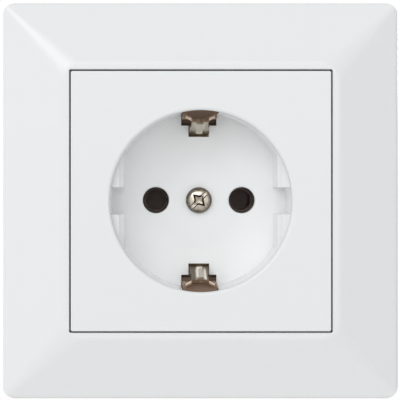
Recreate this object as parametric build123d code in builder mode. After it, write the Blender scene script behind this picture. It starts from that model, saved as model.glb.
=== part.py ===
from build123d import *
import math
import os

# Flush wall socket with two pin holes and two earth springs, as installed.
# All sizes are in millimetres. Heights are measured out of the wall: the wall surface
# is height 0, what faces the room is positive and what stands in the flush box is
# negative. X points right and Z points up, as seen from the room.

# Cover frame
frame_side = 84.9
frame_corner_radius = 3.1
frame_ridge_radius = 0.5
frame_slope = 22.0
frame_edge_round = 1.2
frame_edge_steps = 4
frame_crest_height = 9.7
frame_wall = 1.9
crest_width = 1.45
crest_corner_radius = 4.0
crest_round = 2.0
opening_corner_radius = 0.3
opening_edge_round = 0.25
collar_wall = 1.3
ledge_height = 3.5
ledge_width = 1.3
frame_rib_distance = 44.0
frame_rib_wall = 1.2
frame_rib_clearance = 0.4

# Centre plate with its recess
plate_side = 55.0
plate_gap = 0.33
plate_front = 10.0
plate_thickness = 2.2
plate_corner_radius = 0.4
plate_edge_round = 0.25
skirt_wall = 1.3
recess_radius = 19.25
recess_depth = 17.5
recess_rim_round = 0.6
pot_wall = 1.6
floor_thickness = 2.0
plate_rib_wall = 1.2
plate_rib_turn = 45.0

# Guide blocks at the sides of the recess
guide_height = 2.85
guide_groove_width = 5.8
guide_setback = 2.2
guide_lead = 1.0

# Pin holes
pin_distance = 19.0
pin_hole_radius = 2.9
pin_hole_edge = 0.2

# T-shaped cut-outs for the earth springs
cutout_inset = 5.25
cutout_step_inset = 2.75
cutout_narrow_width = 4.6
cutout_wide_width = 7.8
cutout_rim = 0.9
cutout_reach = 0.4
cutout_box_wall = 1.2

# Centre screw and its nut
screw_head_radius = 2.9
screw_head_height = 1.9
screw_head_round = 1.3
screw_radius = 1.5
screw_length = 7.0
screw_turn = 45.0
cross_arm_length = 3.4
cross_arm_width = 1.0
cross_depth = 1.3
cross_taper = 10.0
screw_slot_width = 0.7
screw_slot_depth = 0.7
screw_passage = 0.25
thread_clearance = 0.05
nut_side = 5.5
nut_thickness = 2.4
nut_clearance = 0.2

# Earth bracket, one folded spring strip
spring_thickness = 0.6
spring_width = 4.2
spring_foot_inset = 4.65
spring_bend_radius = 0.7
spring_end_inset = 1.9
spring_end_depth = 5.2
spring_neck_width = 3.6
spring_neck_length = 6.0
bead_width = 2.2
bead_height = 0.45
bead_start = 3.6
bead_length = 11.0
bead_slope = 45.0
wing_inner = 1.5
wing_outer = 3.15
wing_drop = 0.9
wing_sheet = 0.4
wing_length = 1.6
groove_clearance = 0.15

# Support ring
ring_side = 71.0
ring_thickness = 1.0
ring_corner_radius = 5.0
ring_opening_clearance = 0.6
box_screw_distance = 60.0
box_screw_hole_radius = 1.7
box_slot_sweep = 14.0
corner_hole_distance = 61.0
corner_hole_radius = 1.6

# Socket base and its rear cover
base_screw_gap = 3.5
base_corner_radius = 2.6
base_depth = 20.5
base_front_wall = 5.0
pin_lead_depth = 2.5
rear_cover_thickness = 1.8
rivet_inset = 2.9
rivet_radius = 1.5
rivet_clearance = 0.1
rivet_head_radius = 2.4
rivet_head_height = 0.7
rivet_bore = 0.9
post_radius = 2.6
well_width = 8.4
well_lip = 0.8
well_wall = 0.7
well_depth = 1.5
guard_gap = 0.2
guard_foot = 4.0
guard_clearance = 0.2
guard_shelf_gap = 0.3
guard_lip_wall = 0.9
core_width = 11.0
core_start = 6.2
core_wall = 2.3
core_floor = 5.0

# Contact sleeves and terminals
sleeve_bore_radius = 2.45
sleeve_wall = 0.8
sleeve_length = 13.0
sleeve_edge_cover = 0.05
sleeve_slit = 0.8
sleeve_clearance = 0.3
terminal_row = 10.8
terminal_depth = 20.0
tail_width = 8.0
tail_height = 10.0
tail_collar_height = 0.9
tail_collar_radius = 2.3
wire_gap = 2.4
clamp_thickness = 1.0
clamp_side = 7.4
terminal_head_radius = 2.6
terminal_head_height = 2.0
terminal_slot_width = 0.8
terminal_slot_depth = 0.9
terminal_screw_length = 5.2
terminal_access_radius = 2.75
pocket_width = 8.6
pocket_clearance = 0.3
pocket_front = 14.0
wire_hole_radius = 1.4
wire_hole_offset = 2.5

# Claws
claw_screw_radius = 1.5
claw_screw_clearance = 0.3
claw_screw_depth = 26.0
claw_head_radius = 2.2
claw_head_height = 1.8
claw_head_lift = 0.35
claw_slot_width = 0.8
claw_slot_depth = 0.8
claw_nose_reach = 2.6
claw_elbow_reach = 2.9
claw_tip_reach = 5.4
claw_back_depth = 23.3
claw_sheet = 1.4
claw_tooth_rise = 2.3
claw_width = 9.0
claw_tooth_count = 3
claw_tooth_notch = 1.2
claw_collar_radius = 2.1
claw_collar_height = 1.6
claw_travel = 6.0
claw_swing = 7.0
ramp_gap = 5.0
ramp_width = 2.0
ramp_clearance = 0.35
ramp_depth = 1.0

# Sizes that follow from the driving dimensions
opening_side = plate_side + 2 * plate_gap
crest_side = opening_side + 2 * crest_width
collar_side = opening_side + 2 * collar_wall
ledge_side = opening_side - 2 * ledge_width
slope_run = (frame_side - crest_side) / 2
frame_edge_height = frame_crest_height - slope_run * math.tan(math.radians(frame_slope))
frame_edge_turn = math.pi / 2 - math.radians(frame_slope)
frame_wall_height = frame_edge_height - frame_edge_round * math.tan(frame_edge_turn / 2)
frame_rib_foot = ring_thickness + frame_rib_clearance
plate_back = plate_front - plate_thickness
floor_height = plate_front - recess_depth
pot_back = floor_height - floor_thickness
pot_radius = recess_radius + pot_wall
guide_flat = recess_radius - guide_height
cutout_start = recess_radius - cutout_inset
cutout_step = recess_radius - cutout_step_inset
spring_foot = recess_radius - spring_foot_inset
spring_end = recess_radius - spring_end_inset
half_spring = spring_thickness / 2
guard_inner = spring_end + half_spring + guard_gap
well_start = spring_foot + well_lip
well_end = guard_inner - well_wall
throat_radius = sleeve_bore_radius + sleeve_edge_cover
pin_offset = pin_distance / 2
ring_opening_radius = pot_radius + ring_opening_clearance
claw_screw_offset = plate_side / 2 - skirt_wall - claw_head_radius
claw_nose = claw_screw_offset - claw_nose_reach
claw_elbow = claw_screw_offset + claw_elbow_reach
claw_tip = claw_screw_offset + claw_tip_reach
base_side = 2 * (claw_screw_offset - base_screw_gap)
rivet_distance = base_side - 2 * rivet_inset
core_end = base_side / 2 - core_wall
base_back = pot_back - base_depth
base_wall_back = pot_back - base_front_wall
cover_back = base_back - rear_cover_thickness
cutout_end = pot_radius + cutout_reach
sleeve_radius = sleeve_bore_radius + sleeve_wall
sleeve_back = base_wall_back - sleeve_length
tail_outer = pin_offset + sleeve_radius
tail_inner = tail_outer - sleeve_wall
clamp_inner = tail_outer + wire_gap
clamp_outer = clamp_inner + clamp_thickness

plane_tolerance = 0.01

os.makedirs("parts", exist_ok=True)


def level(height):
    """Plane parallel to the wall at a height in front of its surface."""
    return Plane.XZ.offset(height)


def from_side(height, z):
    """Point of a profile drawn in the plane of depth and Z."""
    return (-height, z)


def from_above(x, height):
    """Point of a profile drawn in the plane of X and depth."""
    return (x, -height)


def edges_at(builder, height):
    """Edges of a part that lie in the plane at one height."""
    return builder.edges().filter_by(
        lambda edge: abs(edge.bounding_box().min.Y + height) < plane_tolerance
        and abs(edge.bounding_box().max.Y + height) < plane_tolerance
    )


# Cover frame: a hollow square moulding whose slopes rise from a rounded edge to the
# crest, over ridges that widen towards it

with BuildPart() as cover_frame:
    with BuildSketch(level(0)):
        RectangleRounded(frame_side, frame_side, frame_ridge_radius)
    extrude(amount=frame_wall_height)
    for step in range(frame_edge_steps + 1):
        lean = frame_edge_turn * step / frame_edge_steps
        inset = frame_edge_round * (1 - math.cos(lean))
        step_height = frame_wall_height + frame_edge_round * math.sin(lean)
        step_side = frame_side - 2 * inset
        step_corner = frame_ridge_radius + (crest_corner_radius - frame_ridge_radius) * inset / slope_run
        with BuildSketch(level(step_height)):
            RectangleRounded(step_side, step_side, step_corner)
    with BuildSketch(level(frame_crest_height)):
        RectangleRounded(crest_side, crest_side, crest_corner_radius)
    loft(ruled=True)
    crest_face = cover_frame.faces().sort_by(Axis.Y)[0]
    fillet(crest_face.edges(), radius=crest_round)
    with BuildSketch(level(0)):
        RectangleRounded(frame_side, frame_side, frame_corner_radius)
    extrude(amount=frame_crest_height, mode=Mode.INTERSECT)
    with BuildSketch(level(0)):
        RectangleRounded(opening_side, opening_side, opening_corner_radius)
    extrude(amount=frame_crest_height, mode=Mode.SUBTRACT)
    crest_face = cover_frame.faces().sort_by(Axis.Y)[0]
    fillet(crest_face.inner_wires().edges(), radius=opening_edge_round)

    # The hollow behind the slopes
    hollow_side = frame_side - 2 * frame_wall
    hollow_radius = frame_corner_radius - frame_wall
    hollow_edge = frame_edge_height - frame_wall
    hollow_crest = frame_crest_height - frame_wall
    with BuildSketch(level(0)):
        RectangleRounded(hollow_side, hollow_side, hollow_radius)
    extrude(amount=hollow_edge, mode=Mode.SUBTRACT)
    with BuildSketch(level(hollow_edge)):
        RectangleRounded(hollow_side, hollow_side, hollow_radius)
    with BuildSketch(level(hollow_crest)):
        RectangleRounded(crest_side, crest_side, crest_corner_radius)
    loft(ruled=True, mode=Mode.SUBTRACT)

    # The collar round the opening, and the ledge that the plate clamps
    skin_middle = frame_wall / 2
    with BuildSketch(level(ring_thickness)):
        Rectangle(collar_side, collar_side)
        RectangleRounded(opening_side, opening_side, opening_corner_radius, mode=Mode.SUBTRACT)
    extrude(amount=frame_crest_height - skin_middle - ring_thickness)
    with BuildSketch(level(ring_thickness)):
        Rectangle(collar_side, collar_side)
        Rectangle(ledge_side, ledge_side, mode=Mode.SUBTRACT)
    extrude(amount=ledge_height - ring_thickness)

    # Ribs between the collar and the outer wall, two behind each slope, stepped over the
    # edge of the support ring
    rib_inner = (opening_side + collar_wall) / 2
    rib_outer = (hollow_side + frame_wall) / 2
    rib_step = ring_side / 2 + frame_rib_clearance
    rib_outline = (
        (rib_inner, frame_rib_foot),
        (rib_step, frame_rib_foot),
        (rib_step, frame_rib_clearance),
        (rib_outer, frame_rib_clearance),
        (rib_outer, hollow_edge + skin_middle / 2),
        (crest_side / 2, hollow_crest + skin_middle / 2),
        (rib_inner, hollow_crest + skin_middle / 2),
    )
    for along in (-frame_rib_distance / 2, frame_rib_distance / 2):
        with BuildSketch(Plane.YZ.offset(along - frame_rib_wall / 2)):
            for side in (1, -1):
                with BuildLine():
                    Polyline([from_side(height, side * out) for out, height in rib_outline], close=True)
                make_face()
        extrude(amount=frame_rib_wall)
        with BuildSketch(Plane.XY.offset(along - frame_rib_wall / 2)):
            for side in (1, -1):
                with BuildLine():
                    Polyline([from_above(side * out, height) for out, height in rib_outline], close=True)
                make_face()
        extrude(amount=frame_rib_wall)

cover_frame.part.label = "cover_frame"
export_step(cover_frame.part, "parts/cover_frame.step")


# Centre plate: the square front, its skirt and the round recess in one moulding

with BuildPart() as centre_plate:
    with BuildSketch(level(plate_back)):
        RectangleRounded(plate_side, plate_side, plate_corner_radius)
    extrude(amount=plate_thickness)
    front_face = centre_plate.faces().sort_by(Axis.Y)[0]
    fillet(front_face.edges(), radius=plate_edge_round)
    with BuildSketch(level(ledge_height)):
        RectangleRounded(plate_side, plate_side, plate_corner_radius)
        Rectangle(plate_side - 2 * skirt_wall, plate_side - 2 * skirt_wall, mode=Mode.SUBTRACT)
    extrude(amount=plate_back - ledge_height)
    cutout_box_width = cutout_wide_width + 2 * cutout_box_wall
    cutout_box_end = cutout_end + cutout_box_wall
    with BuildSketch(level(pot_back)):
        Circle(pot_radius)
        Rectangle(cutout_box_width, 2 * cutout_box_end)
    extrude(amount=plate_back - pot_back)
    with BuildSketch(level(floor_height)):
        Circle(recess_radius)
    extrude(amount=recess_depth, mode=Mode.SUBTRACT)
    rim_edge = centre_plate.faces().sort_by(Axis.Y)[0].inner_wires().edges()
    fillet(rim_edge, radius=recess_rim_round)

    # Guide blocks: two on each side, with a groove between them
    with BuildSketch(level(floor_height)):
        Circle(recess_radius + pot_wall / 2)
        Rectangle(2 * guide_flat, 2 * pot_radius, mode=Mode.SUBTRACT)
        Rectangle(2 * pot_radius, guide_groove_width, mode=Mode.SUBTRACT)
    extrude(amount=recess_depth - guide_setback)
    guide_edges = edges_at(centre_plate, plate_front - guide_setback).filter_by(
        lambda edge: abs(abs(edge.center().X) - guide_flat) < plane_tolerance
    )
    chamfer(guide_edges, length=guide_lead)

    # Ribs that tie the pot to the corners of the skirt
    rib_start = pot_radius - pot_wall / 2
    rib_end = (plate_side / 2 - skirt_wall) * math.sqrt(2)
    with BuildSketch(level(ledge_height + skirt_wall)):
        with PolarLocations((rib_start + rib_end) / 2, 4, start_angle=plate_rib_turn):
            Rectangle(rib_end - rib_start, plate_rib_wall)
    extrude(amount=plate_back - ledge_height - skirt_wall)

    # T-shaped cut-outs through the floor and the wall of the pot
    for end in (1, -1):
        with BuildSketch(level(pot_back)):
            with Locations((0, end * (cutout_start + cutout_step) / 2)):
                Rectangle(cutout_narrow_width, cutout_step - cutout_start)
        extrude(amount=floor_thickness, mode=Mode.SUBTRACT)
        with BuildSketch(level(pot_back)):
            with Locations((0, end * (cutout_step + cutout_end) / 2)):
                Rectangle(cutout_wide_width, cutout_end - cutout_step)
        extrude(amount=plate_front - cutout_rim - pot_back, mode=Mode.SUBTRACT)

    # Pin holes and the passage of the centre screw
    with BuildSketch(level(pot_back)):
        with Locations((-pin_offset, 0), (pin_offset, 0)):
            Circle(pin_hole_radius)
        Circle(screw_radius + screw_passage)
    extrude(amount=floor_thickness, mode=Mode.SUBTRACT)
    pin_edges = edges_at(centre_plate, floor_height).filter_by(GeomType.CIRCLE).filter_by(
        lambda edge: abs(edge.radius - pin_hole_radius) < plane_tolerance
    )
    chamfer(pin_edges, length=pin_hole_edge)

centre_plate.part.label = "centre_plate"
export_step(centre_plate.part, "parts/centre_plate.step")


# Centre screw: domed head with a cross and slot recess

head_top = floor_height + screw_head_height
with BuildPart() as centre_screw:
    with BuildSketch(level(floor_height)):
        Circle(screw_head_radius)
    extrude(amount=screw_head_height)
    fillet(centre_screw.faces().sort_by(Axis.Y)[0].edges(), radius=screw_head_round)
    with BuildSketch(level(floor_height - screw_length)):
        Circle(screw_radius)
    extrude(amount=screw_length)
    with BuildSketch(level(head_top)):
        with Locations(Rotation(0, 0, screw_turn)):
            Rectangle(cross_arm_length, cross_arm_width)
            Rectangle(cross_arm_width, cross_arm_length)
    extrude(amount=-cross_depth, taper=cross_taper, mode=Mode.SUBTRACT)
    with BuildSketch(level(head_top)):
        with Locations(Rotation(0, 0, screw_turn)):
            Rectangle(2 * screw_head_radius, screw_slot_width)
    extrude(amount=-screw_slot_depth, mode=Mode.SUBTRACT)

centre_screw.part.label = "centre_screw"
export_step(centre_screw.part, "parts/centre_screw.step")


# Centre nut: square nut under the earth bracket

nut_front = pot_back - spring_thickness - groove_clearance
with BuildPart() as centre_nut:
    with BuildSketch(level(nut_front - nut_thickness)):
        Rectangle(nut_side, nut_side)
        Circle(screw_radius + thread_clearance, mode=Mode.SUBTRACT)
    extrude(amount=nut_thickness)

centre_nut.part.label = "centre_nut"
export_step(centre_nut.part, "parts/centre_nut.step")


# Earth bracket: the strip runs behind the recess floor, and each end is folded forward
# through a cut-out as a spring that leans outward, with a pressed bead and two wings

strip_height = pot_back - half_spring
end_height = plate_front - spring_end_depth
spring_run = math.hypot(end_height - strip_height, spring_end - spring_foot)
along_height = (end_height - strip_height) / spring_run
along_z = (spring_end - spring_foot) / spring_run
along_spring = Vector(0, -along_height, along_z)
out_of_spring = Vector(0, along_z, along_height)
end_point = Vector(0, -end_height, spring_end)
foot_point = Vector(0, -strip_height, spring_foot)

with BuildPart() as earth_bracket:
    with BuildSketch(Plane.YZ.offset(-spring_width / 2)):
        with BuildLine():
            FilletPolyline(
                from_side(strip_height, 0),
                from_side(strip_height, spring_foot),
                from_side(end_height, spring_end),
                radius=spring_bend_radius,
            )
        trace(line_width=spring_thickness)
    extrude(amount=spring_width)

    # The neck, narrower than the strip, up to the end
    neck_start = end_point - along_spring * spring_neck_length
    with BuildSketch(Plane(neck_start, x_dir=(1, 0, 0), z_dir=along_spring)):
        Rectangle(2 * spring_width, 2 * spring_width)
        Rectangle(spring_neck_width, 2 * spring_width, mode=Mode.SUBTRACT)
    extrude(amount=2 * spring_neck_length, mode=Mode.SUBTRACT)

    # The pressed bead on the face that meets the plug
    bead_centre = foot_point + along_spring * (bead_start + bead_length / 2) - out_of_spring * half_spring
    with BuildSketch(Plane(bead_centre, x_dir=along_spring, z_dir=-out_of_spring)):
        SlotOverall(bead_length, bead_width)
    extrude(amount=bead_height, taper=bead_slope)

    # The wings, folded back from the edges of the end
    wing_start = end_point - along_spring * wing_length
    with BuildSketch(Plane(wing_start, x_dir=(1, 0, 0), z_dir=along_spring)):
        for side in (1, -1):
            with BuildLine():
                Polyline(
                    (side * wing_inner, half_spring - wing_sheet),
                    (side * wing_outer, half_spring - wing_sheet + wing_drop),
                    (side * wing_outer, half_spring + wing_drop),
                    (side * wing_inner, half_spring),
                    close=True,
                )
            make_face()
    extrude(amount=wing_length)
    mirror(about=Plane.XY)

    # The hole for the centre screw, and the tail that leads to the earth terminal
    with BuildSketch(level(pot_back)):
        Circle(screw_radius + screw_passage)
    extrude(amount=-spring_thickness, mode=Mode.SUBTRACT)
    with BuildSketch(level(pot_back)):
        with Locations((tail_outer / 2, terminal_row)):
            Rectangle(tail_outer, tail_width)
    extrude(amount=-spring_thickness)
    tail_back = -terminal_depth - tail_height / 2
    with BuildSketch(level(pot_back)):
        with Locations((tail_outer - spring_thickness / 2, terminal_row)):
            Rectangle(spring_thickness, tail_width)
    extrude(amount=tail_back - pot_back)
    with BuildSketch(Plane.YZ.offset(tail_outer - spring_thickness)):
        with Locations(from_side(-terminal_depth, terminal_row)):
            Circle(tail_collar_radius)
    extrude(amount=-tail_collar_height)
    with BuildSketch(Plane.YZ.offset(tail_outer)):
        with Locations(from_side(-terminal_depth, terminal_row)):
            Circle(screw_radius + thread_clearance)
    extrude(amount=-spring_thickness - tail_collar_height, mode=Mode.SUBTRACT)

earth_bracket.part.label = "earth_bracket"
export_step(earth_bracket.part, "parts/earth_bracket.step")


# Line and neutral contacts: a rolled sleeve with a tail that carries the terminal

for name, side in (("line_contact", -1), ("neutral_contact", 1)):
    with BuildPart() as contact:
        with BuildSketch(level(sleeve_back)):
            with Locations((side * pin_offset, 0)):
                Circle(sleeve_radius)
                Circle(sleeve_bore_radius, mode=Mode.SUBTRACT)
            with Locations((side * (pin_offset - sleeve_radius + sleeve_wall / 2), 0)):
                Rectangle(2 * sleeve_wall, sleeve_slit, mode=Mode.SUBTRACT)
        extrude(amount=sleeve_length)
        tail_end = terminal_row + tail_width / 2
        with BuildSketch(level(-terminal_depth - tail_height / 2)):
            with Locations((side * (tail_inner + tail_outer) / 2, -tail_end / 2)):
                Rectangle(sleeve_wall, tail_end)
        extrude(amount=tail_height)
        with BuildSketch(Plane.YZ.offset(side * tail_inner)):
            with Locations(from_side(-terminal_depth, -terminal_row)):
                Circle(tail_collar_radius)
        extrude(amount=-side * tail_collar_height)
        with BuildSketch(Plane.YZ.offset(side * tail_outer)):
            with Locations(from_side(-terminal_depth, -terminal_row)):
                Circle(screw_radius + thread_clearance)
        extrude(amount=-side * (sleeve_wall + tail_collar_height), mode=Mode.SUBTRACT)
    contact.part.label = name
    export_step(contact.part, f"parts/{name}.step")


# Terminals: a pressure plate and a screw at each of the three tails

terminals = (("line", -1, -1), ("neutral", 1, -1), ("earth", 1, 1))
for wire, side, row in terminals:
    place = from_side(-terminal_depth, row * terminal_row)
    with BuildPart() as clamp:
        with BuildSketch(Plane.YZ.offset(side * clamp_inner)):
            with Locations(place):
                Rectangle(clamp_side, clamp_side)
                Circle(screw_radius + screw_passage, mode=Mode.SUBTRACT)
        extrude(amount=side * clamp_thickness)
        chamfer(clamp.edges().filter_by(Axis.X), length=clamp_thickness)
    clamp.part.label = f"{wire}_clamp"
    export_step(clamp.part, f"parts/{wire}_clamp.step")

    with BuildPart() as terminal_screw:
        with BuildSketch(Plane.YZ.offset(side * clamp_outer)):
            with Locations(place):
                Circle(terminal_head_radius)
        extrude(amount=side * terminal_head_height)
        with BuildSketch(Plane.YZ.offset(side * clamp_outer)):
            with Locations(place):
                Circle(screw_radius)
        extrude(amount=-side * terminal_screw_length)
        with BuildSketch(Plane.YZ.offset(side * (clamp_outer + terminal_head_height))):
            with Locations(place):
                Rectangle(2 * terminal_head_radius, terminal_slot_width)
        extrude(amount=-side * terminal_slot_depth, mode=Mode.SUBTRACT)
    terminal_screw.part.label = f"{wire}_terminal_screw"
    export_step(terminal_screw.part, f"parts/{wire}_terminal_screw.step")


# Support ring: pressed plate on the wall, with the holes of the box screws

with BuildPart() as support_ring:
    with BuildSketch(level(0)):
        RectangleRounded(ring_side, ring_side, ring_corner_radius)
        Circle(ring_opening_radius, mode=Mode.SUBTRACT)
        Rectangle(
            cutout_box_width + 2 * ring_opening_clearance,
            2 * (cutout_box_end + ring_opening_clearance),
            mode=Mode.SUBTRACT,
        )
        with GridLocations(0, box_screw_distance, 1, 2):
            Circle(box_screw_hole_radius, mode=Mode.SUBTRACT)
        with GridLocations(corner_hole_distance, corner_hole_distance, 2, 2):
            Circle(corner_hole_radius, mode=Mode.SUBTRACT)
        with GridLocations(rivet_distance, rivet_distance, 2, 2):
            Circle(rivet_radius + rivet_clearance, mode=Mode.SUBTRACT)
        with GridLocations(2 * claw_screw_offset, 0, 2, 1):
            Circle(claw_screw_radius + claw_screw_clearance, mode=Mode.SUBTRACT)
        for start_angle in (-box_slot_sweep / 2, 180 - box_slot_sweep / 2):
            slot_path = CenterArc(
                (0, 0), box_screw_distance / 2, start_angle, box_slot_sweep, mode=Mode.PRIVATE
            )
            SlotArc(slot_path, 2 * box_screw_hole_radius, mode=Mode.SUBTRACT)
    extrude(amount=ring_thickness)

support_ring.part.label = "support_ring"
export_step(support_ring.part, "parts/support_ring.step")


# Socket base: the insulator, with posts up to the ring and ramps that spread the claws

claw_nose_depth = claw_back_depth - claw_sheet
swing_arm = claw_nose_depth - claw_travel
ramp_rise = swing_arm * math.sin(math.radians(claw_swing))
ramp_foot = claw_nose - ramp_clearance
ramp_top = ramp_foot + ramp_rise
ramp_root = base_side / 2 - ramp_depth

with BuildPart() as socket_base:
    with BuildSketch(level(base_back)):
        RectangleRounded(base_side, base_side, base_corner_radius)
    extrude(amount=base_depth)
    with BuildSketch(level(pot_back)):
        with GridLocations(rivet_distance, rivet_distance, 2, 2):
            Circle(post_radius)
    extrude(amount=-pot_back)

    # Claw ramps: a pair on each side, with the claw screw between them
    ramp_outline = (
        (ramp_root, -claw_nose_depth),
        (ramp_foot, -claw_nose_depth),
        (ramp_top, -swing_arm),
        (ramp_top, -swing_arm + ramp_clearance),
        (base_side / 2, -swing_arm + ramp_rise),
        (ramp_root, -swing_arm + ramp_rise),
    )
    for ramp_start in (-ramp_gap / 2 - ramp_width, ramp_gap / 2):
        with BuildSketch(Plane.XY.offset(ramp_start)):
            for side in (1, -1):
                with BuildLine():
                    Polyline([from_above(side * out, height) for out, height in ramp_outline], close=True)
                make_face()
        extrude(amount=ramp_width)

    # Guards that fill the boxes of the cut-outs behind the springs: a shelf under the
    # wings, and a lip along the wall of the box
    guard_width = cutout_wide_width - 2 * guard_clearance
    guard_outer = cutout_end - guard_clearance
    shelf_height = end_height - wing_length - guard_shelf_gap
    lip_height = plate_front - cutout_rim - guard_clearance
    for guard_wall, guard_height in ((guard_outer - guard_inner, shelf_height), (guard_lip_wall, lip_height)):
        with BuildSketch(level(pot_back - guard_foot)):
            for end in (1, -1):
                with Locations((0, end * (guard_outer - guard_wall / 2))):
                    Rectangle(guard_width, guard_wall)
        extrude(amount=guard_height - pot_back + guard_foot)

    # Seats in the front: the strip, its tail, the nut and the wells behind the cut-outs
    seat_depth = spring_thickness + groove_clearance
    seat_width = spring_width + 2 * groove_clearance
    with BuildSketch(level(pot_back)):
        Rectangle(seat_width, 2 * (spring_foot + half_spring + groove_clearance))
        with Locations((tail_outer / 2, terminal_row)):
            Rectangle(tail_outer + 2 * groove_clearance, tail_width + 2 * groove_clearance)
    extrude(amount=-seat_depth, mode=Mode.SUBTRACT)
    with BuildSketch(level(pot_back - seat_depth)):
        Rectangle(nut_side + 2 * nut_clearance, nut_side + 2 * nut_clearance)
    extrude(amount=-nut_thickness, mode=Mode.SUBTRACT)
    with BuildSketch(level(pot_back)):
        Circle(screw_radius + screw_passage)
    extrude(amount=floor_thickness - screw_length - nut_clearance, mode=Mode.SUBTRACT)
    with BuildSketch(level(pot_back)):
        for end in (1, -1):
            with Locations((0, end * (well_start + well_end) / 2)):
                Rectangle(well_width, well_end - well_start)
    extrude(amount=-well_depth, mode=Mode.SUBTRACT)

    # Pin holes, and the chambers of the contacts, which are open to the rear
    with BuildSketch(level(pot_back)):
        with Locations((-pin_offset, 0), (pin_offset, 0)):
            Circle(pin_hole_radius)
    extrude(amount=-pin_lead_depth, mode=Mode.SUBTRACT)
    throat_length = base_front_wall - pin_lead_depth
    throat_taper = math.degrees(math.atan2(pin_hole_radius - throat_radius, throat_length))
    with BuildSketch(level(pot_back - pin_lead_depth)):
        with Locations((-pin_offset, 0), (pin_offset, 0)):
            Circle(pin_hole_radius)
    extrude(amount=-throat_length, taper=throat_taper, mode=Mode.SUBTRACT)
    chamber_depth = base_depth - base_front_wall
    with BuildSketch(level(base_wall_back)):
        with Locations((-pin_offset, 0), (pin_offset, 0)):
            Circle(sleeve_radius + sleeve_clearance)
    extrude(amount=-chamber_depth, mode=Mode.SUBTRACT)
    passage_front = -terminal_depth + tail_height / 2 + pocket_clearance
    with BuildSketch(level(base_back)):
        for side in (1, -1):
            with Locations((side * (tail_inner + tail_outer) / 2, -terminal_row / 2)):
                Rectangle(sleeve_wall + 2 * pocket_clearance, terminal_row)
    extrude(amount=passage_front - base_back, mode=Mode.SUBTRACT)

    # Terminal pockets, open to the rear, with a screwdriver hole in the side wall
    pocket_inner = tail_inner - tail_collar_height - pocket_clearance
    pocket_outer = clamp_outer + terminal_head_height + pocket_clearance
    for wire, side, row in terminals:
        with BuildSketch(level(base_back)):
            with Locations((side * (pocket_inner + pocket_outer) / 2, row * terminal_row)):
                Rectangle(pocket_outer - pocket_inner, pocket_width)
        extrude(amount=-pocket_front - base_back, mode=Mode.SUBTRACT)
        with BuildSketch(Plane.YZ.offset(side * pocket_inner)):
            with Locations(from_side(-terminal_depth, row * terminal_row)):
                Circle(terminal_access_radius)
        extrude(amount=side * base_side, mode=Mode.SUBTRACT)
    with BuildSketch(level(pot_back)):
        with Locations((tail_outer - spring_thickness / 2, terminal_row)):
            Rectangle(spring_thickness + 2 * groove_clearance, tail_width + 2 * groove_clearance)
    extrude(amount=-pocket_front - pot_back, mode=Mode.SUBTRACT)

    # Cored-out spaces above and below the contacts, and the rivet holes
    with BuildSketch(level(base_back)):
        for end in (1, -1):
            with Locations((0, end * (core_start + core_end) / 2)):
                Rectangle(core_width, core_end - core_start)
    extrude(amount=base_depth - well_depth - core_floor, mode=Mode.SUBTRACT)
    with BuildSketch(level(base_back)):
        with GridLocations(rivet_distance, rivet_distance, 2, 2):
            Circle(rivet_radius + rivet_clearance)
    extrude(amount=-base_back, mode=Mode.SUBTRACT)

socket_base.part.label = "socket_base"
export_step(socket_base.part, "parts/socket_base.step")


# Rear cover: the back plate with the wire holes and a stop behind each sleeve

with BuildPart() as rear_cover:
    with BuildSketch(level(cover_back)):
        RectangleRounded(base_side, base_side, base_corner_radius)
    extrude(amount=rear_cover_thickness)
    with BuildSketch(level(base_back)):
        with Locations((-pin_offset, 0), (pin_offset, 0)):
            Circle(sleeve_radius)
    extrude(amount=sleeve_back - base_back)
    with BuildSketch(level(cover_back)):
        with GridLocations(rivet_distance, rivet_distance, 2, 2):
            Circle(rivet_radius + rivet_clearance)
        wire_offset = tail_outer + wire_gap / 2
        for wire, side, row in terminals:
            for step in (-wire_hole_offset, wire_hole_offset):
                with Locations((side * wire_offset, row * terminal_row + step)):
                    Circle(wire_hole_radius)
    extrude(amount=rear_cover_thickness, mode=Mode.SUBTRACT)

rear_cover.part.label = "rear_cover"
export_step(rear_cover.part, "parts/rear_cover.step")


# Base rivets: four long hollow rivets through ring, base and rear cover

with BuildPart() as base_rivets:
    with BuildSketch(level(cover_back - rivet_head_height)):
        with GridLocations(rivet_distance, rivet_distance, 2, 2):
            Circle(rivet_radius)
    extrude(amount=ring_thickness - cover_back + 2 * rivet_head_height)
    for head_base in (cover_back - rivet_head_height, ring_thickness):
        with BuildSketch(level(head_base)):
            with GridLocations(rivet_distance, rivet_distance, 2, 2):
                Circle(rivet_head_radius)
        extrude(amount=rivet_head_height)
    with BuildSketch(level(cover_back - rivet_head_height)):
        with GridLocations(rivet_distance, rivet_distance, 2, 2):
            Circle(rivet_bore)
    extrude(amount=ring_thickness - cover_back + 2 * rivet_head_height, mode=Mode.SUBTRACT)

base_rivets.part.label = "base_rivets"
export_step(base_rivets.part, "parts/base_rivets.step")


# Claws and their screws: the screw draws the claw forward, up the ramp of the base

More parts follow.
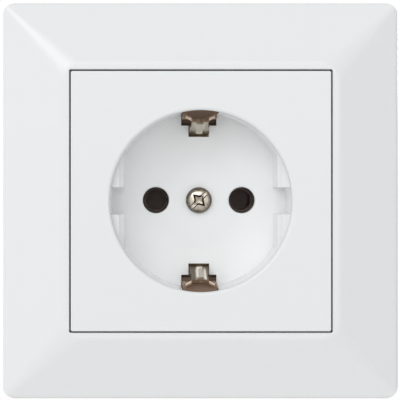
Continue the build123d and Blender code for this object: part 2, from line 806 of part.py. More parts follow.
for hand, side in (("left", -1), ("right", 1)):
    with BuildPart() as claw_screw:
        head_back = ring_thickness + claw_head_lift
        with BuildSketch(level(head_back)):
            with Locations((side * claw_screw_offset, 0)):
                Circle(claw_head_radius)
        extrude(amount=claw_head_height)
        with BuildSketch(level(-claw_screw_depth)):
            with Locations((side * claw_screw_offset, 0)):
                Circle(claw_screw_radius)
        extrude(amount=claw_screw_depth + head_back)
        with BuildSketch(level(head_back + claw_head_height)):
            with Locations((side * claw_screw_offset, 0)):
                Rectangle(2 * claw_head_radius, claw_slot_width)
        extrude(amount=-claw_slot_depth, mode=Mode.SUBTRACT)
    claw_screw.part.label = f"{hand}_claw_screw"
    export_step(claw_screw.part, f"parts/{hand}_claw_screw.step")

    with BuildPart() as claw:
        tooth_depth = claw_nose_depth - claw_tooth_rise
        with BuildSketch(Plane.XY.offset(-claw_width / 2)):
            with BuildLine():
                Polyline(
                    from_above(side * claw_nose, -claw_back_depth),
                    from_above(side * claw_nose, -claw_nose_depth),
                    from_above(side * claw_elbow, -claw_nose_depth),
                    from_above(side * (claw_tip - claw_sheet / 2), -tooth_depth),
                    from_above(side * claw_tip, -tooth_depth - claw_sheet / 2),
                    from_above(side * (claw_elbow + claw_sheet / 2), -claw_back_depth),
                    close=True,
                )
            make_face()
        extrude(amount=claw_width)
        with BuildSketch(level(-claw_nose_depth)):
            with Locations((side * claw_screw_offset, 0)):
                Circle(claw_collar_radius)
        extrude(amount=claw_collar_height)
        tooth_pitch = claw_width / claw_tooth_count
        with BuildSketch(level(-claw_back_depth)):
            with Locations((side * claw_tip, 0)):
                with GridLocations(0, tooth_pitch, 1, claw_tooth_count - 1):
                    RegularPolygon(claw_tooth_notch, 4)
        extrude(amount=claw_back_depth, mode=Mode.SUBTRACT)
        with BuildSketch(level(-claw_back_depth)):
            with Locations((side * claw_screw_offset, 0)):
                Circle(claw_screw_radius + thread_clearance)
        extrude(amount=claw_sheet + claw_collar_height, mode=Mode.SUBTRACT)
    claw.part.label = f"{hand}_claw"
    export_step(claw.part, f"parts/{hand}_claw.step")
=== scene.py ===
# %% [markdown]
# A flush wall socket, seen from the front as it sits in a wall: a white cover frame, a
# white centre plate with a deep round recess, two pin holes, two earth springs and one
# screw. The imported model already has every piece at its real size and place, in metres.

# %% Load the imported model
import math

import bpy
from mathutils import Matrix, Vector


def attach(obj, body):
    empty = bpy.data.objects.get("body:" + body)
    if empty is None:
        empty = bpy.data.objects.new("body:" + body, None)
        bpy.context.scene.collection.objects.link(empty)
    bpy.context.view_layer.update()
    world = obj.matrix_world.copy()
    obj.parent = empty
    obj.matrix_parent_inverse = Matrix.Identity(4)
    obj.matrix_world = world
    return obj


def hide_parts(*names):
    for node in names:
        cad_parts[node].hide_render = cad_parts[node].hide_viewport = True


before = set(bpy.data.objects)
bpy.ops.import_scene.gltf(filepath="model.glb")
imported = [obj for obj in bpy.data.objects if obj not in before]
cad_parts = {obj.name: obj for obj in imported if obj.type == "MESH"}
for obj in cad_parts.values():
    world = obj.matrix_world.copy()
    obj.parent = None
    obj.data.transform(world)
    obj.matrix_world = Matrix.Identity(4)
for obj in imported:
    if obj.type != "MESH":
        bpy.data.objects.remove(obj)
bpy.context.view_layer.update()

# %% [markdown]
# The photograph was taken straight at the wall, a little left of the middle and a
# little above it: the recess shows more of its right and its lower wall. The frame's
# sides stay parallel, so the camera's back was parallel to the wall. Turning the camera
# towards the middle would make the sides lean, so it looks straight ahead instead and
# the lens is shifted, as on a view camera.

# %% Camera
MM = 0.001
eye = Vector((-10.0, -365.0, 4.3)) * MM
lens = bpy.data.cameras.new("front_camera")
lens.sensor_width = 36.0
lens.lens = 151.4
lens.shift_x = 0.1159
lens.shift_y = -0.0481
lens.clip_start = 0.01
camera = bpy.data.objects.new("front_camera", lens)
camera.location = eye
camera.rotation_euler = (math.radians(90), 0, 0)
bpy.context.scene.collection.objects.link(camera)
bpy.context.scene.camera = camera
bpy.context.scene.view_settings.view_transform = "Standard"
print("camera", round(-eye.y / MM), "mm from the wall")

# %% [markdown]
# Shader maths reads best when it looks like arithmetic. A small class wraps one socket
# of a node tree, so that `1 - mask` or `grain * 0.3 + 0.2` adds the Math nodes itself.
# Every other node comes from its one method `add`, which takes the settings first and
# then the values or links of the sockets.


# %% A socket that can be calculated with
class Wire:
    """One output of a node in the tree of a material or of the world."""

    def __init__(self, tree, socket=None):
        self.tree = tree
        self.socket = socket

    def add(self, kind, sockets=None, output=None, stops=None, **settings):
        """Adds a node with its settings, ramp stops, and socket values or links."""
        node = self.tree.nodes.new("ShaderNode" + kind)
        for name, value in settings.items():
            setattr(node, name, value)
        if stops:
            points = node.color_ramp.elements
            while len(points) < len(stops):
                points.new(0.5)
            for point, (place, colour) in zip(points, stops):
                point.position = place
                point.color = colour
        for name, value in (sockets or {}).items():
            if isinstance(name, str):
                target = [s for s in node.inputs if s.name == name and s.enabled][0]
            else:
                target = node.inputs[name]
            if isinstance(value, Wire):
                self.tree.links.new(value.socket, target)
            else:
                target.default_value = value
        named = [socket for socket in node.outputs if socket.name == output]
        live = [socket for socket in named if socket.enabled] or node.outputs[:1]
        return Wire(self.tree, live[0] if node.outputs else None)

    def math(self, operation, first, second=0.0):
        return self.add("Math", {0: first, 1: second}, operation=operation)

    def __add__(self, other):
        return self.math("ADD", self, other)

    def __sub__(self, other):
        return self.math("SUBTRACT", self, other)

    def __rsub__(self, other):
        return self.math("SUBTRACT", other, self)

    def __mul__(self, other):
        return self.math("MULTIPLY", self, other)

    __radd__ = __add__
    __rmul__ = __mul__


def blank(material):
    """Empties the tree of a material or world and returns a wire to start from."""
    material.use_nodes = True
    material.node_tree.nodes.clear()
    return Wire(material.node_tree)


print("shader maths ready")

# %% [markdown]
# The room is bright and even, brighter in front and towards the upper left, where the
# light comes from. The photograph shows it: the deep recess is hardly darker than the
# plate, so light reaches it from a very wide area. The world gives this as a smooth
# sky: an even part, a part that grows towards the front and one that grows towards the
# upper left. To the camera and in reflections it is plain white, so the background is
# white without any more light on the object.

# %% World
even_light = 0.455
front_light = 0.63
side_light = 0.36
front_way = Vector((0, -1, 0))
side_way = Vector((-0.80, 0.0, 0.60))
world = bpy.data.worlds.new("white_room")
bpy.context.scene.world = world
start = blank(world)
camera_ray = start.add("LightPath", output="Is Camera Ray")
glossy_ray = start.add("LightPath", output="Is Glossy Ray")
through_ray = start.add("LightPath", output="Is Transmission Ray")
shown = start.math("MAXIMUM", camera_ray, glossy_ray)
shown = start.math("MAXIMUM", shown, through_ray)
way = start.add("TexCoord", output="Generated")
sideways = start.add(
    "VectorMath", {0: way, 1: side_way}, output="Value", operation="DOT_PRODUCT"
)
forward = start.add(
    "VectorMath", {0: way, 1: front_way}, output="Value", operation="DOT_PRODUCT"
)
lobe = start.math("POWER", start.math("MAXIMUM", forward, 0.0), 2.0)
lit = lobe * front_light + sideways * side_light + even_light
strength = start.add(
    "Mix", {"Factor": shown, "A": lit, "B": 1.0}, output="Result", data_type="FLOAT"
)
sky = start.add("Background", {"Color": (1, 1, 1, 1), "Strength": strength})
start.add("OutputWorld", {"Surface": sky})
print("even light", even_light, "light from", [round(x, 2) for x in side_way])

# %% [markdown]
# The main lamp stands in front and a little above. It is large, like a soft box, and
# gives the soft shadow below the rim of the recess. A smaller one stands to the upper
# left, where the upper left ridge of the frame mirrors it into the camera, so this
# ridge shines as it does in the photograph. Two more lamps behind the wall plane light
# what stands in the flush box, which only the other views show.


# %% Lamps
def soft_lamp(name, place, size, watts):
    """Square lamp that looks at the middle of the socket."""
    light = bpy.data.lights.new(name, "AREA")
    light.size = size
    light.energy = watts
    lamp = bpy.data.objects.new(name, light)
    lamp.location = place
    lamp.rotation_euler = Vector(place).to_track_quat("Z", "Y").to_euler()
    lamp.visible_camera = False
    bpy.context.scene.collection.objects.link(lamp)
    print(name, [round(x, 2) for x in place], "size", size, "watts", watts)


window_way = Vector((-0.10, -0.93, 0.36)).normalized()
ridge_way = Vector((-0.435, -0.79, 0.435))
lamp_distance = 2.0
soft_lamp("window_lamp", window_way * lamp_distance, size=1.15, watts=5.2)
soft_lamp("ridge_lamp", ridge_way * lamp_distance, size=0.5, watts=2.8)
soft_lamp("back_lamp", (0.45, 0.75, 0.35), size=0.6, watts=4.0)
soft_lamp("low_back_lamp", (-0.5, 0.7, -0.1), size=0.6, watts=1.6)

# %% [markdown]
# A socket sits about 30 cm above a room's floor, so the floor is a plain pale plane
# that far down. A bare plane is enough for a stage: it only catches a soft shadow and
# throws some light back up. To the camera it adds a little white, so that it meets the
# background without a line but keeps the shadow.

# %% Floor
floor_height = -0.30
bpy.ops.object.select_all(action="DESELECT")
bpy.ops.mesh.primitive_plane_add(size=3.0, location=(0, 0, floor_height))
floor = bpy.context.active_object
floor.name = "floor"
pale = bpy.data.materials.new("pale_floor")
start = blank(pale)
wash = start.add("BsdfDiffuse", {"Color": (0.80, 0.80, 0.80, 1)})
glow = start.add("Emission", {"Color": (1, 1, 1, 1), "Strength": 0.3})
both = start.add("AddShader", {0: wash, 1: glow})
camera_ray = start.add("LightPath", output="Is Camera Ray")
cover = start.add("MixShader", {0: camera_ray, 1: wash, 2: both})
start.add("OutputMaterial", {"Surface": cover})
floor.data.materials.append(pale)
print("floor at", floor.location.z)

# %% [markdown]
# Finishes change from place to place, mostly over a depth or with the distance from an
# axis. A mask says where, as a number from zero to one. Painting it by hand would need
# a picture, but these places are easy to describe, so a few short helpers build each
# mask from the coordinates of the piece. A mask then mixes two colours.


# %% Masks by place
def mixed(start, mask, first, second):
    """The first colour where the mask is zero and the second where it is one."""
    return start.add(
        "Mix",
        {"Factor": mask, "A": first, "B": second},
        output="Result",
        data_type="RGBA",
    )


def rising(start, value, zero_at, one_at, **settings):
    """A mask that goes from zero to one between two values and is level past them."""
    return start.add(
        "MapRange",
        {"Value": value, "From Min": zero_at, "From Max": one_at},
        output="Result",
        **settings,
    )


def along(start, place, axis):
    """The coordinate of a place on the axis X, Y or Z. Y is the depth into the wall."""
    return start.add("SeparateXYZ", {0: place}, output=axis)


def off_axis(start, place):
    """The distance of a place from the axis that runs through the origin along Y."""
    flat = start.add("VectorMath", {0: place, 1: (1, 0, 1)}, operation="MULTIPLY")
    return start.add("VectorMath", {0: flat}, output="Value", operation="LENGTH")


def near_pins(start, place, inner, outer):
    """One near the two pin axes, falling to zero between two distances in mm."""
    pin_axis = (9.5 * MM, 0, 0)
    folded = start.add("VectorMath", {0: place}, operation="ABSOLUTE")
    aside = start.add("VectorMath", {0: folded, 1: pin_axis}, operation="SUBTRACT")
    return rising(start, off_axis(start, aside), outer * MM, inner * MM)


print("mask helpers ready")

# %% [markdown]
# The white moulding is thermoplastic, polished in the mould: nearly neutral white with
# a faint cool tint, glossy but not a mirror. A real moulding is never one flat colour.
# Very soft clouds change its shade by about one percent, the gloss varies a little from
# place to place, and the skin has a slight ripple that only shows in reflections. One
# function makes the darker plastics too, with more contrast and with specks of filler.
# Each plastic also has a zone, which a small function of its own gives as a mask and
# the colour there.


# %% Moulded plastic
def moulding(
    name, colour, shade, gloss, gloss_change, ripple, grain_scale, zone, speckle=0
):
    """Plastic with soft clouds, a change of gloss, a rippled skin and a second zone."""
    material = bpy.data.materials.new(name)
    start = blank(material)
    place = start.add("TexCoord", output="Object")
    clouds = start.add("TexNoise", {"Vector": place, "Scale": 55.0, "Detail": 2.0})
    grain = start.add(
        "TexNoise", {"Vector": place, "Scale": grain_scale, "Detail": 3.0}
    )
    mottle = clouds * 0.7 + grain * 0.3
    if speckle:
        specks = start.add("TexVoronoi", {"Vector": place, "Scale": grain_scale * 1.5})
        mottle = mottle - (specks - 0.4) * speckle
    dark = [channel * (1 - shade) for channel in colour] + [1]
    light = [min(channel * (1 + shade), 1) for channel in colour] + [1]
    tint = mixed(start, mottle, dark, light)
    part, second = zone(start, place)
    tint = mixed(start, part, tint, second)
    rough = grain * gloss_change + (gloss - gloss_change / 2)
    skin = start.add(
        "Bump", {"Strength": 1.0, "Distance": ripple * MM, "Height": mottle}
    )
    shader = start.add(
        "BsdfPrincipled",
        {"Base Color": tint, "Roughness": rough, "Normal": skin, "IOR": 1.49},
    )
    start.add("OutputMaterial", {"Surface": shader})
    print(name, "base", colour, "roughness", gloss)
    return material


print("moulding function ready")

# %% [markdown]
# In the photograph the recess is nearly as bright as the plate in front of it, though a
# pot 17 mm deep gets less light. The picture is a little overexposed there. A lamp in the
# recess would light the springs as well, so light is painted into the recess instead: its
# white is a little lighter, more so towards its wall. The zone begins just below the rim,
# so the face of the plate keeps its own white.


# %% White plastic
def recess_painted_light(start, place):
    """One inside the round recess of the plate, and the lighter white painted there as
    light.
    """
    distance = off_axis(start, place)
    inside = rising(start, distance, 19.9 * MM, 19.2 * MM)
    below_rim = rising(start, along(start, place, "Y"), -7.6 * MM, -5.5 * MM)
    outward = rising(start, distance, 9.0 * MM, 17.0 * MM)
    # Painted light: the recess is lighter than the plate's white, more so towards its
    # wall.
    recess_floor_light = (0.88, 0.898, 0.906, 1)
    recess_wall_light = (0.965, 0.980, 0.986, 1)
    return inside * below_rim, mixed(start, outward, recess_floor_light, recess_wall_light)


white = moulding(
    "white_moulding",
    colour=(0.812, 0.828, 0.835),
    shade=0.008,
    gloss=0.25,
    gloss_change=0.05,
    ripple=0.004,
    grain_scale=900.0,
    zone=recess_painted_light,
)

# %% [markdown]
# The base is a brown moulding and its rear cover a dark grey one. Both are duller than
# the white plastic. The guards of the base stand beside the earth springs, and their
# front edges get a cool grey as a painted highlight. The throats round the pin axes get a
# darker brown as painted shade. At the bottom of each throat the rear cover is painted
# paler, as painted light where the hole lies deep in shade. That zone ends before the
# back of the cover, which no pin reaches.


# %% Dark plastics
def guard_highlight_and_throat_shade(start, place):
    """One at the front edges of the guards and in the throats, and the painted colour
    there: a highlight on the edges and shade in the throats.
    """
    lips = rising(start, along(start, place, "Y"), -7.6 * MM, -8.6 * MM)
    throats = near_pins(start, place, inner=2.95, outer=3.3)
    # Painted highlight on the front edges of the guards, painted shade in the throats.
    lip_highlight_grey = (0.26, 0.205, 0.195, 1)
    throat_shade_brown = (0.17, 0.13, 0.11, 1)
    part = start.math("MAXIMUM", lips, throats)
    return part, mixed(start, throats, lip_highlight_grey, throat_shade_brown)


def behind_pins(start, place):
    """One where the rear cover closes the pin holes, and the paler colour painted there
    as light.
    """
    before_back = rising(start, along(start, place, "Y"), 29.4 * MM, 28.9 * MM)
    # Painted light: the bottom of each pin hole is much paler than the cover's dark grey.
    pin_bottom_light_grey = (0.45, 0.37, 0.33, 1)
    return near_pins(start, place, inner=2.6, outer=3.0) * before_back, pin_bottom_light_grey


brown = moulding(
    "brown_moulding",
    colour=(0.34, 0.23, 0.165),
    shade=0.25,
    gloss=0.55,
    gloss_change=0.15,
    ripple=0.01,
    grain_scale=1400.0,
    zone=guard_highlight_and_throat_shade,
    speckle=0.3,
)
grey = moulding(
    "grey_moulding",
    colour=(0.055, 0.052, 0.050),
    shade=0.20,
    gloss=0.50,
    gloss_change=0.15,
    ripple=0.01,
    grain_scale=1200.0,
    zone=behind_pins,
    speckle=0.2,
)

# %% [markdown]
# The metals are nickel on the springs and the screws, zinc on the ring and the clamps, a
# yellowish passivation on the claws and bare brass on the contacts. Sheet metal keeps
# fine lines from rolling, and plating has cloudy patches, so each metal gets stretched
# noise for the lines and round noise for the patches. Both change the gloss and the
# colour a little. A metal with a zone gets a new colour there and a mask of how dull it
# is there: oxide in the brass bores, and painted light and shade on the springs. A dull
# zone isn't bare metal, so the mask takes away some of the metallic look and some of the
# gloss.


# %% Metal
def plating(name, bright, dull, gloss, lines, patch_scale, depth, zone=None):
    """Metal with rolled lines along one axis, cloudy patches and a zone of another
    colour, which is oxide in the brass bores and painted light and shade on the springs.
    """
    material = bpy.data.materials.new(name)
    start = blank(material)
    place = start.add("TexCoord", output="Object")
    stretched = start.add("Mapping", {"Vector": place, "Scale": lines})
    rolled = start.add(
        "TexNoise", {"Vector": stretched, "Scale": 1.0, "Detail": 4.0, "Roughness": 0.6}
    )
    patches = start.add(
        "TexNoise", {"Vector": place, "Scale": patch_scale, "Detail": 3.0}
    )
    tint = mixed(start, patches * 0.7 + rolled * 0.3, (*dull, 1), (*bright, 1))
    metal = 1.0
    rough = rolled * 0.12 + patches * 0.08 + (gloss - 0.1)
    if zone:
        tint, dulled = zone(start, place, tint, rolled)
        metal = 1 - dulled * 0.8
        rough = rough + dulled * 0.3
    skin = start.add(
        "Bump", {"Strength": 1.0, "Distance": depth * MM, "Height": rolled}
    )
    shader = start.add(
        "BsdfPrincipled",
        {"Base Color": tint, "Metallic": metal, "Roughness": rough, "Normal": skin},
    )
    start.add("OutputMaterial", {"Surface": shader})
    print(name, "bright", bright, "roughness", gloss)
    return material


print("plating function ready")

# %% [markdown]
# The earth springs carry painted light and shade. A painted highlight makes a bright ring
# round the pressed bead of each spring, with painted shade round that. The wings beside
# it get a bright coppery edge as a painted highlight, and the front ends get painted
# shade in brown streaks. One strip makes both springs, so the masks use the height
# without its sign. The ring and its painted shade are stronger on the lower spring, which
# the light from above reaches, as in the photograph.

# %% Spring metal
bead_start = 15.4
# Colours of the bead ring: a painted highlight, then painted shade outside it.
bead_highlight_rings = [
    (0.0, (0.46, 0.43, 0.38, 1)),
    (0.18, (0.42, 0.39, 0.34, 1)),
    (0.28, (0.95, 0.87, 0.74, 1)),
    (0.42, (0.92, 0.83, 0.69, 1)),
    (0.50, (0.13, 0.10, 0.065, 1)),
    (0.80, (0.08, 0.06, 0.04, 1)),
]
ring_scale = 0.4
copper_edge_highlight = (0.80, 0.60, 0.44, 1)
end_shade_brown = (0.15, 0.09, 0.045, 1)


def spring_light_and_shade(start, place, tint, rolled):
    """Painted highlight ring round the bead with painted shade outside it, bright coppery
    wing edges as painted highlights and brown streaks of painted shade at the end.
    """
    side, depth, height = [along(start, place, axis) for axis in "XYZ"]
    lower = rising(start, height, 1.0 * MM, -1.0 * MM)
    # The bead is a line that begins some way from the middle and runs outward.
    away = start.math("ABSOLUTE", side - lower * (0.3 * MM))
    short_of_it = start.math("ABSOLUTE", height) * -1.0 + bead_start * MM
    before = start.math("MAXIMUM", short_of_it, 0.0)
    bead = start.math("SQRT", away * away + before * before) * (1 / MM)
    # Painted highlight ring with painted shade round it, stronger on the lower spring,
    # which the light from above reaches.
    rings = start.add(
        "ValToRGB", {0: bead * ring_scale + (rolled - 0.5) * 0.06}, stops=bead_highlight_rings
    )
    front = rising(start, depth, 9.2 * MM, 8.4 * MM)
    tint = mixed(start, front * (lower * 0.6 + 0.3), tint, rings)
    dulled = rising(start, bead, 1.1, 1.4) * front * lower

    wings = rising(start, start.math("ABSOLUTE", side), 1.75 * MM, 2.0 * MM)
    wing_tips = wings * rising(start, depth, -2.0 * MM, -2.6 * MM)
    # Painted highlight: a bright coppery edge on the wings.
    tint = mixed(start, wing_tips, tint, copper_edge_highlight)

    # Painted shade: brown streaks at the front ends.
    streaks = start.add("Mapping", {"Vector": place, "Scale": (3200.0, 300.0, 300.0)})
    marks = start.add("TexNoise", {"Vector": streaks, "Scale": 1.0, "Detail": 2.0})
    end = rising(start, depth, -3.2 * MM, -4.6 * MM)
    end_shade = start.math("MINIMUM", end * (marks * 1.2 + 0.35) * (1 - wings), 1.0)
    dulled = start.math("MAXIMUM", dulled * (1 - wing_tips), end_shade)
    return mixed(start, end_shade, tint, end_shade_brown), dulled


nickel = plating(
    "spring_nickel",
    bright=(0.66, 0.59, 0.47),
    dull=(0.48, 0.41, 0.31),
    gloss=0.30,
    lines=(2500.0, 250.0, 250.0),
    patch_scale=500.0,
    depth=0.004,
    zone=spring_light_and_shade,
)

# %% [markdown]
# The other metals see less wear. Screws are turned or pressed, so their marks run the
# same way in every direction, while the ring, the claws and the contacts are cut from
# rolled sheet and keep its lines. The bores of the contact sleeves carry a brown oxide,
# since no pin has rubbed them bright for a long time.


# %% Other metals
def oxide_in_bores(start, place, tint, rolled):
    """Brown oxide on the bores of the contact sleeves."""
    bore = near_pins(start, place, inner=2.6, outer=2.9)
    return mixed(start, bore, tint, (0.40, 0.32, 0.29, 1)), bore * 0.3


screw_nickel = plating(
    "screw_nickel",
    bright=(0.72, 0.66, 0.56),
    dull=(0.52, 0.46, 0.37),
    gloss=0.24,
    lines=(900.0, 900.0, 900.0),
    patch_scale=700.0,
    depth=0.003,
)
zinc = plating(
    "zinc_plate",
    bright=(0.66, 0.66, 0.64),
    dull=(0.48, 0.49, 0.48),
    gloss=0.38,
    lines=(300.0, 300.0, 2200.0),
    patch_scale=160.0,
    depth=0.004,
)
passivated = plating(
    "claw_passivation",
    bright=(0.66, 0.58, 0.36),
    dull=(0.50, 0.46, 0.34),
    gloss=0.36,
    lines=(300.0, 2200.0, 300.0),
    patch_scale=220.0,
    depth=0.004,
)
brass = plating(
    "contact_brass",
    bright=(0.68, 0.50, 0.22),
    dull=(0.50, 0.35, 0.15),
    gloss=0.32,
    lines=(400.0, 400.0, 2000.0),
    patch_scale=260.0,
    depth=0.003,
    zone=oxide_in_bores,
)

# %% [markdown]
# The centre screw needs a finish of its own. Its crown is bright, and its rim is darker,
# a painted reflection of darker surroundings. Patches of painted shade lie at the bottom
# of its recess. The distance from the screw's axis says where the rim begins, and the
# depth says where the patches are. The steep sides of the recess get a second, darker
# nickel as painted shade.


# %% Finish of the centre screw
def crown_finish(name, bright, dull, inner, outer):
    """Nickel that turns from bright to a dark rim of painted reflection between two
    distances from the axis, with patches of painted shade at the bottom of the recess.
    """
    material = bpy.data.materials.new(name)
    start = blank(material)
    place = start.add("TexCoord", output="Object")
    distance = off_axis(start, place)
    rim = rising(
        start, distance, inner * MM, outer * MM, interpolation_type="SMOOTHSTEP"
    )
    marks = start.add("TexNoise", {"Vector": place, "Scale": 1500.0, "Detail": 3.0})
    # The rim turns dark with a noisy edge: a painted dark reflection.
    rim_shade = start.math("MINIMUM", rim + (marks - 0.5) * 0.9, 1.0)
    bottom = rising(start, along(start, place, "Y"), 6.4 * MM, 6.6 * MM)
    # Patches of painted shade darken the bottom of the recess.
    bottom_patches = start.add("TexNoise", {"Vector": place, "Scale": 2600.0, "Detail": 2.0})
    bottom_shade = mixed(start, bottom_patches, (0.20, 0.17, 0.12, 1), (0.62, 0.56, 0.48, 1))
    crown = mixed(start, bottom, (*bright, 1), bottom_shade)
    tint = mixed(start, start.math("MAXIMUM", rim_shade, 0.0), crown, (*dull, 1))
    rough = marks * 0.16 + rim * 0.1 + 0.12
    skin = start.add("Bump", {"Strength": 1.0, "Distance": 0.02 * MM, "Height": marks})
    shader = start.add(
        "BsdfPrincipled",
        {"Base Color": tint, "Metallic": 1.0, "Roughness": rough, "Normal": skin},
    )
    start.add("OutputMaterial", {"Surface": shader})
    print(name, "bright inside", inner, "mm, dull outside", outer, "mm")
    return material


crown_nickel = crown_finish(
    "crown_nickel",
    bright=(0.64, 0.58, 0.49),
    # The dull rim colour is a painted dark reflection.
    dull=(0.14, 0.12, 0.09),
    inner=1.7,
    outer=2.8,
)
# The steep sides of the recess get this darker nickel as painted shade.
recess_shade_nickel = plating(
    "recess_shade_nickel",
    bright=(0.20, 0.16, 0.12),
    dull=(0.08, 0.06, 0.045),
    gloss=0.45,
    lines=(1500.0, 1500.0, 1500.0),
    patch_scale=900.0,
    depth=0.003,
)

# %% [markdown]
# The screws that show are turned parts, so one helper makes them. It adds a filled
# circle round the axis, then extrudes it along the axis and resizes it, step after
# step, which is how one would draw a screw by hand. A spin of a profile would do as
# well, but here each step is one pair of numbers: how far along the axis, and how wide.


# %% A turned piece
def turned(name, axis, origin, steps, sides):
    """Round solid on an axis, in steps of (mm along the axis, mm of radius)."""
    axis, origin = Vector(axis), Vector(origin)
    so_far, radius = steps[0]
    bpy.ops.object.select_all(action="DESELECT")
    bpy.ops.mesh.primitive_circle_add(
        vertices=sides,
        radius=radius * MM,
        fill_type="NGON",
        location=(origin + axis * so_far) * MM,
        rotation=axis.to_track_quat("Z", "Y").to_euler(),
    )
    piece = bpy.context.active_object
    piece.name = name
    bpy.ops.object.transform_apply(location=True, rotation=True, scale=True)
    bpy.ops.object.mode_set(mode="EDIT")
    bpy.ops.mesh.select_all(action="SELECT")
    for next_stop, next_radius in steps[1:]:
        shift = axis * (next_stop - so_far) * MM
        bpy.ops.mesh.extrude_region_move(TRANSFORM_OT_translate={"value": shift})
        bpy.ops.transform.resize(value=[next_radius / radius] * 3)
        so_far, radius = next_stop, next_radius
    bpy.ops.mesh.select_all(action="SELECT")
    bpy.ops.mesh.normals_make_consistent(inside=False)
    bpy.ops.object.mode_set(mode="OBJECT")
    print(name, "points", len(piece.data.vertices))
    return piece


print("turning helper ready")

# %% [markdown]
# The recess of a screw is pressed in with a tool. Here a tool is a second mesh, which a
# Boolean modifier subtracts. Inset faces could draw a simple slot, but a slot that
# crosses a dome is much easier to cut. Two tools are needed: one that is turned, and a
# bar. Some points of a tool are resized on their own to taper it.


# %% Tools that cut
def applied(piece, kind, **settings):
    """Selects a piece alone, and adds, sets and applies a modifier."""
    bpy.ops.object.select_all(action="DESELECT")
    piece.select_set(True)
    bpy.context.view_layer.objects.active = piece
    change = piece.modifiers.new(kind.lower(), kind)
    for name, value in settings.items():
        setattr(change, name, value)
    bpy.ops.object.modifier_apply(modifier=change.name)


def resized_points(piece, chosen, value):
    """Resizes those points of a piece that a test chooses."""
    bpy.ops.object.mode_set(mode="EDIT")
    bpy.ops.mesh.select_mode(type="VERT")
    bpy.ops.mesh.select_all(action="DESELECT")
    bpy.ops.object.mode_set(mode="OBJECT")
    for vertex in piece.data.vertices:
        vertex.select = chosen(vertex.co)
    bpy.ops.object.mode_set(mode="EDIT")
    bpy.ops.transform.resize(value=value)
    bpy.ops.object.mode_set(mode="OBJECT")


def bar_tool(place, size, turn=0):
    """Bar of a place and size in mm, turned about Y by some degrees."""
    bpy.ops.object.select_all(action="DESELECT")
    bpy.ops.mesh.primitive_cube_add(
        size=1.0,
        location=[value * MM for value in place],
        rotation=(0, math.radians(turn), 0),
        scale=[value * MM for value in size],
    )
    return bpy.context.active_object


def cut(piece, tool):
    """Subtracts a tool from a piece and takes the tool away."""
    applied(piece, "BOOLEAN", operation="DIFFERENCE", object=tool, solver="EXACT")
    bpy.data.objects.remove(tool)
    print(piece.name, "faces after the cut", len(piece.data.polygons))


print("cutting helpers ready")

# %% [markdown]
# The head of the centre screw is a low dome on a short rim. Its recess takes a cross or a
# flat driver. It is cut with two tools: a four-pointed star that narrows downwards, which
# is a turned piece of eight sides with every second corner pulled in, and a bar for the
# slot. The sides of both tools carry the dark nickel of painted shade, and the modifier
# hands it on to the sides of the recess.

# %% Centre screw
screw_steps = [
    (-14.5, 1.2),
    (-14.2, 1.5),
    (-7.5, 1.5),
    (-7.5, 2.88),
    (-7.1, 2.88),
    (-6.7, 2.83),
    (-6.35, 2.65),
    (-6.08, 2.38),
    (-5.88, 2.0),
    (-5.74, 1.5),
    (-5.66, 0.95),
]
centre_screw = turned("centre_screw_dome", (0, -1, 0), (0, 0, 0), screw_steps, 96)
centre_screw.data.materials.append(crown_nickel)
centre_screw.data.materials.append(recess_shade_nickel)

star = turned("star_tool", (0, 1, 0), (0, 0, 0), [(5.0, 2.55), (6.7, 1.2)], 8)
near_zero, pulled_in = 0.1 * MM, 0.52
resized_points(
    star,
    lambda point: min(abs(point.x), abs(point.z)) < near_zero,
    (pulled_in, 1, pulled_in),
)

bar = bar_tool((0, 5.7, 0), (1.5, 1.3, 7.0))
slot_bottom, narrowed = 6.0 * MM, 0.4
bpy.ops.object.transform_apply(location=True, rotation=True, scale=True)
resized_points(bar, lambda point: point.y > slot_bottom, (narrowed, 1, 1))
bar.rotation_euler = (0, math.radians(45), 0)
bpy.ops.object.transform_apply(location=True, rotation=True, scale=True)

facing_front = 0.7
for tool in (bar, star):
    for face in tool.data.polygons:
        face.material_index = 1 if abs(face.normal.y) < facing_front else 0
    tool.data.materials.append(crown_nickel)
    tool.data.materials.append(recess_shade_nickel)
    cut(centre_screw, tool)

# %% [markdown]
# The claw screws show behind the socket, and a screw without a thread looks like a pin.
# A thread is one triangle that is wound up along the axis, which the Screw modifier
# does in one step. The triangle sinks a little into the core, so that no gap shows
# between them, and it leaves a little room to the next turn. The end of the centre
# screw gets such a thread too.


# %% Screw threads
def threaded(name, origin, first, last):
    """Metric M3 thread along Y, from first to last mm."""
    core, crest, pitch = 1.25, 1.5, 0.5
    sunk, share_of_pitch, steps_per_turn = 0.08, 0.92, 20
    triangle_height, triangle_side = 1.5, math.sqrt(3)
    bpy.ops.object.select_all(action="DESELECT")
    bpy.ops.mesh.primitive_circle_add(
        vertices=3,
        radius=1.0 * MM,
        fill_type="NOTHING",
        location=(0, 0, 0),
        rotation=(0, 0, math.radians(-90)),
    )
    piece = bpy.context.active_object
    piece.name = name
    piece.data.materials.append(screw_nickel)
    bpy.ops.object.transform_apply(location=True, rotation=True, scale=True)
    bpy.ops.object.mode_set(mode="EDIT")
    bpy.ops.mesh.select_all(action="SELECT")
    deep = (crest - core + sunk) / triangle_height
    bpy.ops.transform.resize(value=(deep, pitch * share_of_pitch / triangle_side, 1))
    bpy.ops.transform.translate(value=((crest - deep) * MM, first * MM, 0))
    bpy.ops.object.mode_set(mode="OBJECT")
    turns = int((last - first) / pitch)
    applied(
        piece,
        "SCREW",
        axis="Y",
        angle=math.radians(360),
        screw_offset=pitch * MM,
        iterations=turns,
        steps=steps_per_turn,
        render_steps=steps_per_turn,
    )
    bpy.ops.object.mode_set(mode="EDIT")
    bpy.ops.mesh.select_all(action="SELECT")
    bpy.ops.mesh.fill_holes(sides=3)
    bpy.ops.mesh.select_all(action="SELECT")
    bpy.ops.mesh.normals_make_consistent(inside=False)
    bpy.ops.transform.translate(value=Vector(origin) * MM)
    bpy.ops.object.mode_set(mode="OBJECT")
    print(name, "turns", turns)
    return piece


centre_thread = threaded("centre_thread", (0, 0, 0), first=9.7, last=13.9)
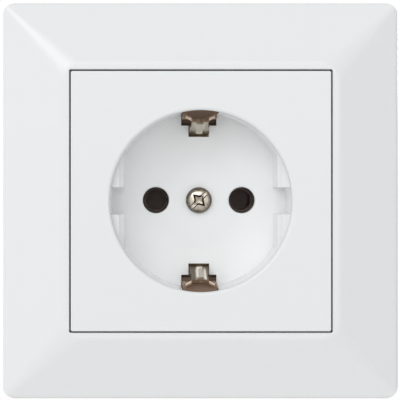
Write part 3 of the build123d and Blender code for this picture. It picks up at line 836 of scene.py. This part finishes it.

# %% [markdown]
# Cut edges are never perfectly sharp. A narrow bevel along every edge that turns by more
# than 40 degrees catches the light, and smooth shading below that angle makes the dome
# look round. The thread is joined on after the bevel, because its edges are too fine for
# it. Then the screw is attached to the body that carries it, and the imported piece that
# it stands for is hidden.


# %% Edges and place of a screw
def finished(piece, thread, body, slot, *nodes):
    """Bevels a piece and adds its thread, which then ride on a body as one."""
    bevel_width, sharp_angle = 0.04 * MM, math.radians(40)
    applied(
        piece,
        "BEVEL",
        width=bevel_width,
        segments=2,
        limit_method="ANGLE",
        angle_limit=sharp_angle,
    )
    thread.select_set(True)
    bpy.ops.object.join()
    bpy.ops.object.shade_smooth_by_angle(angle=sharp_angle)
    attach(piece, body)
    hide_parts(*nodes)
    print(piece.name, "faces", len(piece.data.polygons), "rides on", body)


finished(centre_screw, centre_thread, "housing", "screw_nickel", "centre_screw")

# %% [markdown]
# The two claw screws run from the front of the ring to behind the claws, so their
# threads show in the back and side views. Each is a core with a slotted cheese head and
# a thread. The slots stand at 30 degrees, as a driver happens to leave them.

# %% Claw screws
slot_turn = 30
bolt_steps = [
    (-3.15, 1.85),
    (-3.02, 2.08),
    (-2.8, 2.2),
    (-1.35, 2.2),
    (-1.35, 1.27),
    (25.6, 1.27),
    (26.0, 0.95),
]
for side, across in (("left", -24.0), ("right", 24.0)):
    bolt = turned(side + "_claw_bolt", (0, 1, 0), (across, 0, 0), bolt_steps, 48)
    bolt.data.materials.append(screw_nickel)
    cut(bolt, bar_tool((across, -3.15, 0), (0.8, 1.6, 6.0), slot_turn))
    bolt_thread = threaded(side + "_thread", (across, 0, 0), first=-0.9, last=25.3)
    body = side + "_claw_screw"
    finished(bolt, bolt_thread, body, "screw_nickel", body)

# %% [markdown]
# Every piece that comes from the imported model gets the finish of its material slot. The
# slots are named for the materials of the real pieces, so one table is enough, and the
# pieces that the new screws replace are dressed too, though they stay hidden.

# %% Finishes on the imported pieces
finish_of = {
    "white_plastic": white,
    "dark_plastic": brown,
    "grey_plastic": grey,
    "spring_metal": nickel,
    "contact_brass": brass,
    "screw_nickel": screw_nickel,
    "ring_steel": zinc,
    "claw_steel": passivated,
}
for name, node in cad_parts.items():
    slot = node.data.materials[0].name
    node.data.materials[0] = finish_of[slot]
    print(name, slot)
